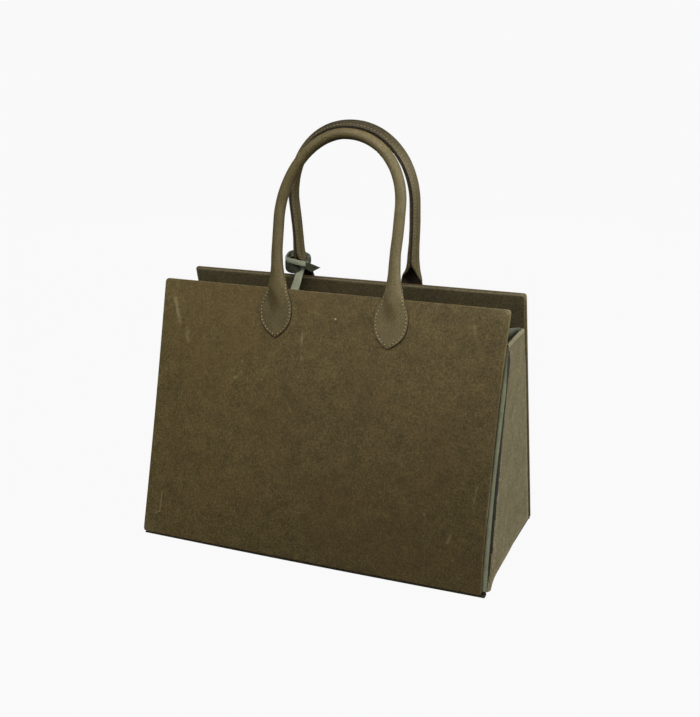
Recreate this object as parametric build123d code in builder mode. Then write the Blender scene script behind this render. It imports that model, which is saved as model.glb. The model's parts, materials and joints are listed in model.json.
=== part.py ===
"""Structured leather tote with two leaning panels, flat gussets and two rolled handles.

Frame: X is the width, the front faces -Y, Z is up.
The origin is the middle of the base, on the ground.
"""
from build123d import *
import math
import os

os.makedirs("parts", exist_ok=True)

# ---- Driving dimensions (mm) ----
panel_width = 360.0
base_depth = 191.0            # between the outer faces of the two panels, on the ground
mouth_depth = 60.0            # between the same faces at the top
front_height = 254.5
back_height = 258.0
panel_corner = 4.0

outer_leather = 2.2           # thickness of the panels' leather
board = 1.8                   # thickness of the stiffening board behind it
facing = 1.0                  # thickness of the leather band inside the mouth
lining = 0.6                  # thickness of the cloth lining
facing_drop = 50.0            # height of the band inside the mouth
board_inset = 3.0             # how far the board stops short of the panel's edge
lining_inset = 6.0            # how far the lining stops short of the panel's edge

base_leather = 2.0
base_board = 2.4

gusset_leather = 1.8
gusset_face_x = 178.5         # outer face of each gusset
gusset_top_z = 224.0
flange_top_x = 179.5          # edge of each turned-out flange at the gusset's top
flange_foot_right = 185.9     # the right front flange spreads towards the ground
flange_foot_left = 181.5
flange_back_x = 179.8
binding = 0.9                 # thickness of the strip that binds the gusset's top edge
binding_drop = 8.0
gusset_lining_gap = 1.1       # between the gusset and its hanging lining, at the seams
lining_sag_top = 10.0         # how far the lining hangs into the bag at the mouth
lining_sag_foot = 0.5

handle_offset_x = 6.0         # the handles sit a little right of the middle
leg_spacing = 122.0           # between the centrelines of a handle's two legs
front_apex_rise = 149.0       # top of the front handle's centreline above its panel
front_apex_shift = 27.8       # how far the front handle leans into the bag at its top
back_apex_rise = 152.7
back_apex_shift = 21.3
grip_half_width = 5.25        # the rolled grip is an ellipse, deeper than it is wide
grip_half_depth = 6.5
core_radius = 3.2
core_clearance = 0.05
leg_straight_end = 80.0       # the legs are straight up to here, then they arch
crown_radius = 52.0
grip_start = 25.0             # the moving grip begins this far from the fold line
fold_gap = 1.4                # between a leg's fixed root and the grip, which swings clear of it

tab_tip_drop = 47.1           # from the panel's top edge down to the tab's point
tab_half_width = 17.0
tab_widest_drop = 21.5
tab_neck_half = 11.0
tab_leather = 2.2
tab_rise = 5.0                # how far the flat tab runs above the panel's edge
root_half_depth = 4.0
root_clearance = 0.3

backing_thickness = 0.8       # patch behind each tab, let into the board
backing_size = (26.0, 34.0)
backing_drop = 22.0           # from the top edge to the patch's middle

tack_x = 10.3
tack_drop = 24.7              # from the top edge to the tack
tack_head_radius = 1.4
tack_head_height = 0.5
tack_shank_radius = 0.6
tack_clearance = 0.05

lace_width = 8.5
lace_thickness = 1.6
knot_rise = 12.0              # middle of the knot above the back panel's top edge
knot_height = 10.0
knot_outer = (13.0, 10.0)     # half sizes of the wrapped lace around the leg
knot_inner = (10.5, 7.6)
tail_length = 13.0
tail_thickness = 3.0
lace_route = [                # hangs from the knot into the bag
    (-52.6, 20.2, 264.0),
    (-54.6, 16.6, 253.0),
    (-57.6, 12.4, 240.0),
    (-60.2, 9.8, 225.0),
    (-61.6, 9.6, 208.0),
    (-62.0, 11.0, 191.0),
    (-61.6, 12.4, 176.0),
]

front, back = -1, 1           # sign of Y on each side of the bag
side_name = {front: "front", back: "back"}
height_of = {front: front_height, back: back_height}
apex_of = {front: (front_apex_rise, front_apex_shift), back: (back_apex_rise, back_apex_shift)}

# ---- Worked-out dimensions ----
panel_shift = (base_depth - mouth_depth) / 2
board_depth = outer_leather
inner_depth = outer_leather + board
wall_depth = inner_depth + facing
base_top_z = base_leather + base_board
gusset_inner_x = gusset_face_x - gusset_leather
leg_half = leg_spacing / 2


def save(part, label):
    """Name the finished piece and write it."""
    part.label = label
    export_step(part, f"parts/{label}.step")


def panel_lean(side):
    return math.atan2(panel_shift, height_of[side])


def panel_slope(side):
    return math.hypot(panel_shift, height_of[side])


def panel_plane(side, depth=0.0):
    """Plane on a panel's outer face, or depth behind it: X along the width, Y up the slope."""
    lean = panel_lean(side)
    outward = Vector(0, side * math.cos(lean), math.sin(lean))
    foot = Vector(0, side * base_depth / 2, 0)
    return Plane(origin=foot - outward * depth, x_dir=(-side, 0, 0), z_dir=outward)


def wall_y(side, depth, z):
    """Y of the surface that lies depth behind a panel's outer face, at height z."""
    lean = panel_lean(side)
    return side * (base_depth / 2 - z * math.tan(lean) - depth / math.cos(lean))


def panel_layer(side, depth, thickness, inset, low, high, foot_z):
    """One sheet of a panel, between two heights up the slope, cut level at foot_z."""
    with BuildPart() as sheet:
        with BuildSketch(panel_plane(side, depth)) as outline:
            with Locations((0, (low + high) / 2)):
                Rectangle(panel_width - 2 * inset, high - low)
            fillet(outline.vertices().group_by(Axis.Y)[-1], radius=panel_corner)
        extrude(amount=-thickness)
        split(bisect_by=Plane.XY.offset(foot_z), keep=Keep.TOP)
    return sheet.part


def tack_hole(part):
    """Drill the tack's hole through a sheet of the front panel."""
    with BuildPart() as drilled:
        add(part)
        with BuildSketch(panel_plane(front)):
            with Locations((tack_x, panel_slope(front) - tack_drop)):
                Circle(tack_shank_radius + tack_clearance)
        extrude(amount=-inner_depth - 1, mode=Mode.SUBTRACT)
    return drilled.part


def tab_positions(side):
    """Middle of each tab in its panel's own plane, from left to right of the bag."""
    flip = -side
    return {
        "left": (flip * (handle_offset_x - leg_half), panel_slope(side)),
        "right": (flip * (handle_offset_x + leg_half), panel_slope(side)),
    }


def backing_pockets(part, side):
    """Let the patches behind both tabs into the board's inner face."""
    with BuildPart() as pocketed:
        add(part)
        with BuildSketch(panel_plane(side, inner_depth)):
            for x, top in tab_positions(side).values():
                with Locations((x, top - backing_drop)):
                    Rectangle(*backing_size)
        extrude(amount=backing_thickness, mode=Mode.SUBTRACT)
    return pocketed.part


def make_panel(side):
    """Leather, board, facing and lining of one leaning panel."""
    name = side_name[side]
    slope = panel_slope(side)
    below = -6.0
    skin = panel_layer(side, 0, outer_leather, 0, below, slope, 0)
    stiffener = panel_layer(side, board_depth, board, board_inset, below, slope - 1, base_leather)
    stiffener = backing_pockets(stiffener, side)
    if side == front:
        skin = tack_hole(skin)
        stiffener = tack_hole(stiffener)
    save(skin, f"{name}_panel")
    save(stiffener, f"{name}_board")
    split_height = slope - facing_drop
    band = panel_layer(side, inner_depth, facing, 1.0, split_height, slope - 0.5, 0)
    save(band, f"{name}_facing")
    cloth = panel_layer(side, inner_depth, lining, lining_inset, below, split_height - 0.2, base_top_z)
    save(cloth, f"{name}_lining")


def make_backings(side):
    """Patch behind each tab, where the handle's stitches pull on the board."""
    name = side_name[side]
    for hand, (x, top) in tab_positions(side).items():
        with BuildPart() as patch:
            with BuildSketch(panel_plane(side, inner_depth)):
                with Locations((x, top - backing_drop)):
                    Rectangle(*backing_size)
            extrude(amount=backing_thickness)
        save(patch.part, f"{name}_{hand}_backing")


def base_sheet(bottom, top, depth, half_width):
    """A sheet of the base, fitted between the leaning panels."""
    corners = [
        (wall_y(front, depth, bottom), bottom),
        (wall_y(back, depth, bottom), bottom),
        (wall_y(back, depth, top), top),
        (wall_y(front, depth, top), top),
    ]
    with BuildPart() as sheet:
        with BuildSketch(Plane.YZ):
            with BuildLine():
                Polyline(*corners, close=True)
            make_face()
        extrude(amount=half_width, both=True)
    return sheet.part


def make_base():
    save(base_sheet(0, base_leather, outer_leather, gusset_inner_x), "base_panel")
    save(base_sheet(base_leather, base_top_z, inner_depth, gusset_inner_x), "base_board")
    lining_half = gusset_inner_x - gusset_lining_gap - lining
    save(base_sheet(base_top_z, base_top_z + lining, wall_depth, lining_half), "base_lining")


def flange(side, hand, foot_x):
    """Outline of the edge that a gusset turns outwards behind a panel."""
    flip = -side * hand
    top = gusset_top_z / math.cos(panel_lean(side))
    return [
        (flip * gusset_inner_x, -1.0),
        (flip * foot_x, -1.0),
        (flip * flange_top_x, top),
        (flip * gusset_inner_x, top),
    ]


def gusset_outline(depth, low, high):
    """Side of the bag between the two panels, from height low to high."""
    return [
        (wall_y(front, depth, low), low),
        (wall_y(back, depth, low), low),
        (wall_y(back, depth, high), high),
        (wall_y(front, depth, high), high),
    ]


def make_gusset(hand, hand_name, front_foot_x):
    """Side leather with its two turned-out flanges."""
    with BuildPart() as side_leather:
        with BuildSketch(Plane.YZ.offset(hand * gusset_inner_x)):
            with BuildLine():
                Polyline(*gusset_outline(wall_depth, 0, gusset_top_z), close=True)
            make_face()
        extrude(amount=hand * gusset_leather)
        for side, foot_x in ((front, front_foot_x), (back, flange_back_x)):
            with BuildSketch(panel_plane(side, wall_depth)):
                with BuildLine():
                    Polyline(*flange(side, hand, foot_x), close=True)
                make_face()
            extrude(amount=-gusset_leather)
        split(bisect_by=Plane.XY, keep=Keep.TOP)
    save(side_leather.part, f"{hand_name}_gusset")


def make_binding(hand, hand_name):
    """Leather strip folded over the gusset's top edge."""
    depth = wall_depth + gusset_leather + 0.3
    low = gusset_top_z - binding_drop
    with BuildPart() as strip:
        with BuildSketch(Plane.YZ.offset(hand * (gusset_inner_x - binding))):
            with BuildLine():
                Polyline(*gusset_outline(depth, low, gusset_top_z + binding), close=True)
            make_face()
        extrude(amount=hand * (gusset_leather + 2 * binding))
        with BuildSketch(Plane.YZ.offset(hand * gusset_inner_x)):
            Rectangle(base_depth, 2 * gusset_top_z)
        extrude(amount=hand * gusset_leather, mode=Mode.SUBTRACT)
    save(strip.part, f"{hand_name}_gusset_binding")


def lining_section(hand, z, sag):
    """Thin curved strip, the plan of the hanging side lining at height z."""
    seam_x = hand * (gusset_inner_x - binding - 0.2)
    start, end = (wall_y(front, wall_depth + 0.2, z), wall_y(back, wall_depth + 0.2, z))
    middle = (start + end) / 2
    inner_x = seam_x - hand * lining
    ThreePointArc((seam_x, start), (seam_x - hand * sag, middle), (seam_x, end))
    ThreePointArc((inner_x, start), (inner_x - hand * sag, middle), (inner_x, end))
    Line((seam_x, start), (inner_x, start))
    Line((seam_x, end), (inner_x, end))


def make_gusset_lining(hand, hand_name):
    """Side lining, sewn at its two edges, hanging loose into the mouth."""
    foot_z = base_top_z + lining + 0.2
    with BuildPart() as cloth:
        for z, sag in ((foot_z, lining_sag_foot), (gusset_top_z, lining_sag_top)):
            with BuildSketch(Plane.XY.offset(z)):
                with BuildLine():
                    lining_section(hand, z, sag)
                make_face()
        loft()
    save(cloth.part, f"{hand_name}_gusset_lining")


def handle_lean(side):
    rise, shift = apex_of[side]
    return math.atan2(shift, rise)


def handle_plane(side):
    """Plane of a handle: origin on the fold line, X along the width, Y up the handle."""
    lean = handle_lean(side)
    normal = Vector(0, -math.cos(lean), -side * math.sin(lean))
    origin = (handle_offset_x, side * mouth_depth / 2, height_of[side])
    return Plane(origin=origin, x_dir=(1, 0, 0), z_dir=normal)


def leg_section_plane(side, x, distance):
    """Plane across a leg, at a distance from the fold line."""
    lean = handle_lean(side)
    along = Vector(0, -side * math.sin(lean), math.cos(lean))
    foot = Vector(handle_offset_x + x, side * mouth_depth / 2, height_of[side])
    return Plane(origin=foot + along * distance, x_dir=(1, 0, 0), z_dir=along)


def arch_points(apex):
    """Corners between the shoulder and crown arcs of a handle, all tangent to each other."""
    rise = apex - crown_radius - leg_straight_end
    inset = leg_half - crown_radius
    gap = (rise ** 2 + inset ** 2) / (2 * inset)
    shoulder_radius = crown_radius + gap
    turn = math.atan2(rise, gap - inset)
    centre_x = leg_half - shoulder_radius
    join = (
        centre_x + shoulder_radius * math.cos(turn),
        leg_straight_end + shoulder_radius * math.sin(turn),
    )
    middle = (
        centre_x + shoulder_radius * math.cos(turn / 2),
        leg_straight_end + shoulder_radius * math.sin(turn / 2),
    )
    return middle, join


def handle_path(side):
    """Centreline of a handle, drawn in the handle's plane."""
    rise, shift = apex_of[side]
    apex = math.hypot(rise, shift)
    (mx, my), (jx, jy) = arch_points(apex)
    Line((-leg_half, grip_start), (-leg_half, leg_straight_end))
    ThreePointArc((-leg_half, leg_straight_end), (-mx, my), (-jx, jy))
    ThreePointArc((-jx, jy), (0, apex), (jx, jy))
    ThreePointArc((jx, jy), (mx, my), (leg_half, leg_straight_end))
    Line((leg_half, leg_straight_end), (leg_half, grip_start))


def make_handle(side):
    """Rolled leather grip and the cord core inside it."""
    name = side_name[side]
    start = leg_section_plane(side, -leg_half, grip_start)
    with BuildPart() as grip:
        with BuildLine(handle_plane(side)) as centreline:
            handle_path(side)
        with BuildSketch(start):
            Ellipse(grip_half_width, grip_half_depth)
            Circle(core_radius, mode=Mode.SUBTRACT)
        sweep(path=centreline.wires()[0])
    save(grip.part, f"{name}_handle_grip")
    with BuildPart() as core:
        with BuildLine(handle_plane(side)) as centreline:
            handle_path(side)
        with BuildSketch(start):
            Circle(core_radius - core_clearance)
        sweep(path=centreline.wires()[0])
    save(core.part, f"{name}_handle_core")


def tab_outline():
    """Pointed spade that is sewn to the panel; the origin is at the panel's top edge."""
    tip = (0, -tab_tip_drop)
    for hand in (-1, 1):
        widest = (hand * tab_half_width, -tab_widest_drop)
        neck = (hand * tab_neck_half, tab_rise)
        ThreePointArc(tip, (hand * tab_half_width * 0.72, -0.8 * tab_tip_drop), widest)
        ThreePointArc(widest, (hand * tab_half_width * 0.9, -0.35 * tab_widest_drop), neck)
    Line((-tab_neck_half, tab_rise), (tab_neck_half, tab_rise))


def make_tabs(side):
    """Spade tabs with the flared root of each leg, which stay on the panel."""
    name = side_name[side]
    for hand, (x, top) in tab_positions(side).items():
        leg_x = -leg_half if hand == "left" else leg_half
        tab_plane = panel_plane(side).shift_origin(panel_plane(side).from_local_coords((x, top, 0)))
        root_foot = Plane.XY.offset(height_of[side] + root_clearance).shift_origin(
            (handle_offset_x + leg_x, side * (mouth_depth / 2 + tab_leather / 2),
             height_of[side] + root_clearance))
        with BuildPart() as tab:
            with BuildSketch(tab_plane):
                with BuildLine():
                    tab_outline()
                make_face()
            extrude(amount=tab_leather)
            with BuildSketch(root_foot) as foot:
                Ellipse(tab_neck_half, root_half_depth)
            with BuildSketch(leg_section_plane(side, leg_x, grip_start - fold_gap)) as head:
                Ellipse(grip_half_width, grip_half_depth)
            loft([foot.sketch, head.sketch])
        save(tab.part, f"{name}_{hand}_tab")


def make_tack():
    """Small round tack near the top of the front panel."""
    plane = panel_plane(front)
    with BuildPart() as tack:
        with BuildSketch(plane):
            with Locations((tack_x, panel_slope(front) - tack_drop)):
                Circle(tack_shank_radius)
        extrude(amount=-(inner_depth - 0.2))
        with BuildSketch(plane):
            with Locations((tack_x, panel_slope(front) - tack_drop)):
                Circle(tack_head_radius)
        extrude(amount=tack_head_height)
        fillet(tack.edges().group_by(Axis.Y)[0], radius=0.3)
    save(tack.part, "centre_tack")


def make_lace():
    """Flat leather lace: the knot round the back left leg, and the length that hangs inside."""
    leg_x = handle_offset_x - leg_half
    low = back_height + knot_rise - knot_height / 2
    knot_y = mouth_depth / 2 - 1.0
    with BuildPart() as knot:
        with BuildSketch(Plane.XY.offset(low)):
            with Locations((leg_x, knot_y)):
                Ellipse(*knot_outer)
                Ellipse(*knot_inner, mode=Mode.SUBTRACT)
            with Locations((leg_x + knot_outer[0] + tail_length / 2 - 3, knot_y - 5)):
                Rectangle(tail_length, tail_thickness)
        extrude(amount=knot_height)
    save(knot.part, "lace_knot")

    runs = list(zip(lace_route, lace_route[1:]))
    lengths = [math.dist(a, b) for a, b in runs]
    radii = []
    for index in range(1, len(lace_route) - 1):
        before = Vector(*lace_route[index]) - Vector(*lace_route[index - 1])
        after = Vector(*lace_route[index + 1]) - Vector(*lace_route[index])
        half_turn = math.radians(before.get_angle(after)) / 2
        radii.append(0.45 * min(lengths[index - 1], lengths[index]) / math.tan(half_turn))
    print("lace bend radii:", [round(radius) for radius in radii])
    first_run = Vector(*lace_route[1]) - Vector(*lace_route[0])
    with BuildPart() as lace:
        with BuildLine() as route:
            FilletPolyline(*lace_route, radius=radii)
        with BuildSketch(Plane(origin=lace_route[0], x_dir=(1, 0, 0), z_dir=first_run)):
            Rectangle(lace_width, lace_thickness)
        sweep(path=route.wires()[0])
    print("lace length:", round(route.wires()[0].length, 1))
    print("lace volume against section times length:",
          round(lace.part.volume / (lace_width * lace_thickness * route.wires()[0].length), 3))
    save(lace.part, "lace")


for panel_side in (front, back):
    make_panel(panel_side)
    make_backings(panel_side)
make_base()
make_gusset(1, "right", flange_foot_right)
make_gusset(-1, "left", flange_foot_left)
for gusset_hand, gusset_name in ((1, "right"), (-1, "left")):
    make_binding(gusset_hand, gusset_name)
    make_gusset_lining(gusset_hand, gusset_name)
for handle_side in (front, back):
    make_handle(handle_side)
    make_tabs(handle_side)
make_tack()
make_lace()
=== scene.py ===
import json
import math
import random

import bpy
import numpy as np
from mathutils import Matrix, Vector


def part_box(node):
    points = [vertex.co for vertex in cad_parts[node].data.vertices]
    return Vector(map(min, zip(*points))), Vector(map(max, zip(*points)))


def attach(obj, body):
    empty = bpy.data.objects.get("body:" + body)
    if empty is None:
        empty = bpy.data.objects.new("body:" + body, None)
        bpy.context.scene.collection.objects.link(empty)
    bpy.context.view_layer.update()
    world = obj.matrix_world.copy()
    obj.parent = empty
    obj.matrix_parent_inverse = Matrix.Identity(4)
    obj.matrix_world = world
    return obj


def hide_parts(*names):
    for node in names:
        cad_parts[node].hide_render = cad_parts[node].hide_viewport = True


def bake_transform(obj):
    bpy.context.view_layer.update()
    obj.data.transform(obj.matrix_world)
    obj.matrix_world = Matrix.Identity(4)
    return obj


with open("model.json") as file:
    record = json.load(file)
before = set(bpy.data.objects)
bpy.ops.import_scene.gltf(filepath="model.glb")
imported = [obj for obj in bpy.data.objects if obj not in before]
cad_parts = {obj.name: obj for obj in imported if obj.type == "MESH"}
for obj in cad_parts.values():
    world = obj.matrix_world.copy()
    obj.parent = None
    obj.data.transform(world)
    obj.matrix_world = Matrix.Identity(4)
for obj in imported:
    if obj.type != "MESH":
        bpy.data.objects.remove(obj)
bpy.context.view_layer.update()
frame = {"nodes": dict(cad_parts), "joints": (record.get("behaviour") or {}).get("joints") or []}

MM = 0.001
ACROSS = np.array([1.0, 0.0, 0.0])
rng = random.Random(7)

# ---- Sizes of the leather work (metres) ----
WRAP = 4.0 * MM               # a panel's leather turned over its board, as one slab
FACING = 1.0 * MM
FACING_DROP = 50.0 * MM
LINING = 0.6 * MM
# Corner radii of the panels: top left, top right, foot left, foot right.
CORNERS = {"front": (4.5 * MM, 3.2 * MM, 4.5 * MM, 2.5 * MM),
           "back": (3.2 * MM, 3.2 * MM, 2.5 * MM, 2.5 * MM)}
FOOT_BULGE = {"front": 1.5 * MM, "back": 0.6 * MM}
# How far the front's right edge stands back, in mm, at shares of its height.
RIGHT_HOLLOW = [(0.0, 0.7), (0.15, 2.4), (0.6, 2.6), (0.75, 1.9), (0.88, 1.0), (1.0, 0.0)]
EDGE_ROUND = 1.1 * MM
PANEL_LIFT = 1.3 * MM         # the panels end this far above the ground, on the base leather
GUSSET = 1.8 * MM
GUSSET_TURN = 1.5 * MM        # radius where the gusset turns out behind a panel
GUSSET_TOP_FRONT = 220.2 * MM
GUSSET_TOP_BACK = 221.8 * MM
GUSSET_FACE = 178.5 * MM      # from the middle to a gusset's outer face
BACK_FLANGE = 179.5 * MM      # and to the edge it turns out behind the back panel
SIDE_CLOTH_FACE = 175.3 * MM
SIDE_CLOTH_FOOT = 5.4 * MM
BINDING = 0.8 * MM
STRAP = 1.5 * MM              # thickness of the handle leather
TAB = 1.9 * MM                # and of its tabs
TAB_LENGTH = 47.1 * MM
GRIP_HALF_DEPTH = 6.0 * MM
KEEL_DEPTH = 8.2 * MM         # from the grip's middle to the stitched edges on its inner side
CORE_RADIUS = 3.3 * MM
CORE_START = 24 * MM          # the cord begins this far up each leg
HANDLE_RISE = {"front": (149.0, 27.8), "back": (152.7, 21.3)}   # top of the handle: up, and into the bag
STRIP_HALF = 18 * MM          # about half of the width of the handle's strip, for its grain
STITCH_PITCH = 3.5 * MM
STITCH_LENGTH = 1.9 * MM
THREAD = 0.95 * MM
HOLE = 0.52 * MM              # radius of a needle hole
STITCH_INSET = 2.4 * MM       # from an edge to its row of stitches
LACE_WIDTH = 8.5 * MM
LACE_THICKNESS = 1.6 * MM
LACE_BOW = 0.3 * MM           # how far the lace's middle stands above its edges


# ---- The bag's main lines, read from the frame ----
def joint_point(name):
    for joint in frame["joints"]:
        if joint["name"] == name:
            return np.array(joint["pos_m"], float)
    raise KeyError(name)


class Panel:
    """One leaning panel: a point is given across, up the slope, and out from its outer face."""

    def __init__(self, name):
        low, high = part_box(f"{name}_panel")
        self.name = name
        self.side = -1 if name == "front" else 1
        self.half = high.x
        self.foot = np.array([0, low.y if self.side < 0 else high.y, 0])
        self.fold = joint_point(f"{name}_handle_fold")
        top = np.array([0, self.fold[1], self.fold[2]])
        self.slope = float(np.linalg.norm(top - self.foot))
        self.up = (top - self.foot) / self.slope
        self.out = np.array([0, self.side * self.up[2], -self.side * self.up[1]])
        rise, shift = HANDLE_RISE[name]
        self.apex = math.hypot(rise, shift) * MM
        self.handle_up = np.array([0, -self.side * shift, rise]) * MM / self.apex
        self.handle_out = np.array([0, self.side * self.handle_up[2], -self.side * self.handle_up[1]])

    def at(self, x, v, h=0.0):
        x, v, h = np.broadcast_arrays(x, v, h)
        return self.foot + x[..., None] * ACROSS + v[..., None] * self.up + h[..., None] * self.out

    def y_at(self, z, depth):
        """Y of the surface that lies depth behind the outer face, at height z."""
        lean = self.up[1] / self.up[2]
        return self.foot[1] + z * lean - self.side * depth / self.up[2]


front = Panel("front")
back = Panel("back")


# ---- Small numeric helpers ----
def smooth(t):
    t = np.clip(t, 0, 1)
    return t * t * (3 - 2 * t)


def ramp(value, start, end):
    return smooth((np.asarray(value, float) - start) / (end - start))


def hermite(t, start, leave, end, arrive):
    """Cubic from start to end with these slopes at its ends, for t from 0 to 1."""
    return ((2 * t ** 3 - 3 * t ** 2 + 1) * start + (t ** 3 - 2 * t ** 2 + t) * leave
            + (3 * t ** 2 - 2 * t ** 3) * end + (t ** 3 - t ** 2) * arrive)


def curve_through(points, values):
    """Smooth monotone curve through a few (position, value) pairs."""
    positions, heights = (np.array(column, float) for column in zip(*points))
    slopes = np.gradient(heights, positions)
    rises = np.diff(heights) / np.diff(positions)
    for index in range(1, len(rises)):
        if rises[index - 1] * rises[index] <= 0:
            slopes[index] = 0
    values = np.clip(values, positions[0], positions[-1])
    cell = np.clip(np.searchsorted(positions, values) - 1, 0, len(rises) - 1)
    step = positions[cell + 1] - positions[cell]
    t = (values - positions[cell]) / step
    return hermite(t, heights[cell], step * slopes[cell], heights[cell + 1], step * slopes[cell + 1])


def unit(vectors):
    return vectors / np.linalg.norm(vectors, axis=-1, keepdims=True)


def square_to(vectors, direction):
    """The part of each vector square to a unit direction, brought to unit length."""
    return unit(vectors - direction * np.sum(vectors * direction, axis=1)[:, None])


def lengths_along(points):
    """Distance along a polyline to each of its points."""
    return np.concatenate([[0], np.cumsum(np.linalg.norm(np.diff(points, axis=0), axis=1))])


def points_at(marks, along, points):
    """Points of a polyline at given distances along it."""
    return np.stack([np.interp(marks, along, column) for column in points.T], axis=1)


def off_line(line, across, outward, sideways, out):
    """Grid of points at these distances across and outwards from each point of a line."""
    return line[:, None] + sideways[..., None] * across[:, None] + out[..., None] * outward[:, None]


def at_height(x, y, z):
    return np.stack(np.broadcast_arrays(x, y, z), axis=-1)


def spaced(low, high, step):
    """Positions from low to high, closer together near both ends."""
    fine = np.array([0, 0.7, 1.6, 2.8, 4.5, 7.0]) * MM
    inner = np.linspace(low + fine[-1], high - fine[-1], max(3, int((high - low) / step)))
    return np.concatenate([low + fine[:-1], inner, high - fine[:-1][::-1]])


def waves(seed, count, shortest):
    """A gentle undulation of unit size, as a function of two coordinates in metres."""
    dice = random.Random(seed)
    terms = []
    for _ in range(count):
        length = shortest * dice.uniform(1.0, 3.5)
        turn = dice.uniform(0, math.pi)
        terms.append((2 * math.pi * math.cos(turn) / length, 2 * math.pi * math.sin(turn) / length,
                      dice.uniform(0, 6.3), dice.uniform(0.5, 1.0) / count))
    return lambda x, y: sum(a * np.sin(kx * x + ky * y + p) for kx, ky, p, a in terms)


# ---- Mesh helpers ----
def put(name, data):
    """A new object in the scene."""
    obj = bpy.data.objects.new(name, data)
    bpy.context.scene.collection.objects.link(obj)
    return obj


def new_object(name, vertices, faces, sides=None):
    mesh = bpy.data.meshes.new(name)
    mesh.from_pydata([tuple(v) for v in vertices], [], faces)
    if sides is not None:
        mesh.polygons.foreach_set("material_index", sides)
    mesh.validate()
    mesh.update()
    mesh.shade_smooth()
    mesh.set_sharp_from_angle(angle=math.radians(40))
    return put(name, mesh)


def quads(index):
    rows, columns = index.shape
    return [(int(index[i, j]), int(index[i, j + 1]), int(index[i + 1, j + 1]), int(index[i + 1, j]))
            for i in range(rows - 1) for j in range(columns - 1)]


def shell(name, outer, inner, flip=False, **attributes):
    """A closed sheet of leather or cloth from the points of its two faces, with the rim between them.

    Faces of the outer side have material 0, of the inner side 1, and of the rim 2."""
    rows, columns = outer.shape[:2]
    count = rows * columns
    index = np.arange(count).reshape(rows, columns)
    border = np.concatenate([index[0, :-1], index[:-1, -1], index[-1, :0:-1], index[:0:-1, 0]])
    ahead = np.roll(border, -1)
    faces = quads(index)
    faces += [tuple(count + i for i in reversed(face)) for face in faces]
    faces += [(int(b), int(a), int(a) + count, int(b) + count) for a, b in zip(border, ahead)]
    if flip:
        faces = [tuple(reversed(face)) for face in faces]
    cells = (rows - 1) * (columns - 1)
    sides = [0] * cells + [1] * cells + [2] * len(border)
    obj = new_object(name, np.concatenate([outer.reshape(-1, 3), inner.reshape(-1, 3)]), faces, sides)
    for key, values in attributes.items():
        vector = np.ndim(values) == 3
        values = np.asarray(values, np.float32)
        values = np.concatenate([values.reshape(count, -1)] * 2)
        layer = obj.data.attributes.new(key, "FLOAT_VECTOR" if vector else "FLOAT", "POINT")
        layer.data.foreach_set("vector" if vector else "value", values.ravel())
    return obj


def surface_normals(points):
    """Unit normals of a grid of points."""
    down = np.gradient(points, axis=0)
    across = np.gradient(points, axis=1)
    normals = np.cross(across, down)
    length = np.linalg.norm(normals, axis=2, keepdims=True)
    return normals / np.maximum(length, 1e-12)


def settle(obj, material, body="root", replaces=(), inside=None, rim=None):
    """Material, slot and body of a finished piece; a shell may have others inside and on its rim."""
    obj.data.materials.append(material)
    if inside or rim:
        obj.data.materials.append(inside or material)
        obj.data.materials.append(rim or material)
    else:
        obj.data.polygons.foreach_set("material_index", [0] * len(obj.data.polygons))
    if replaces:
        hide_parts(*replaces)
    if body:
        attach(obj, body)


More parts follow.
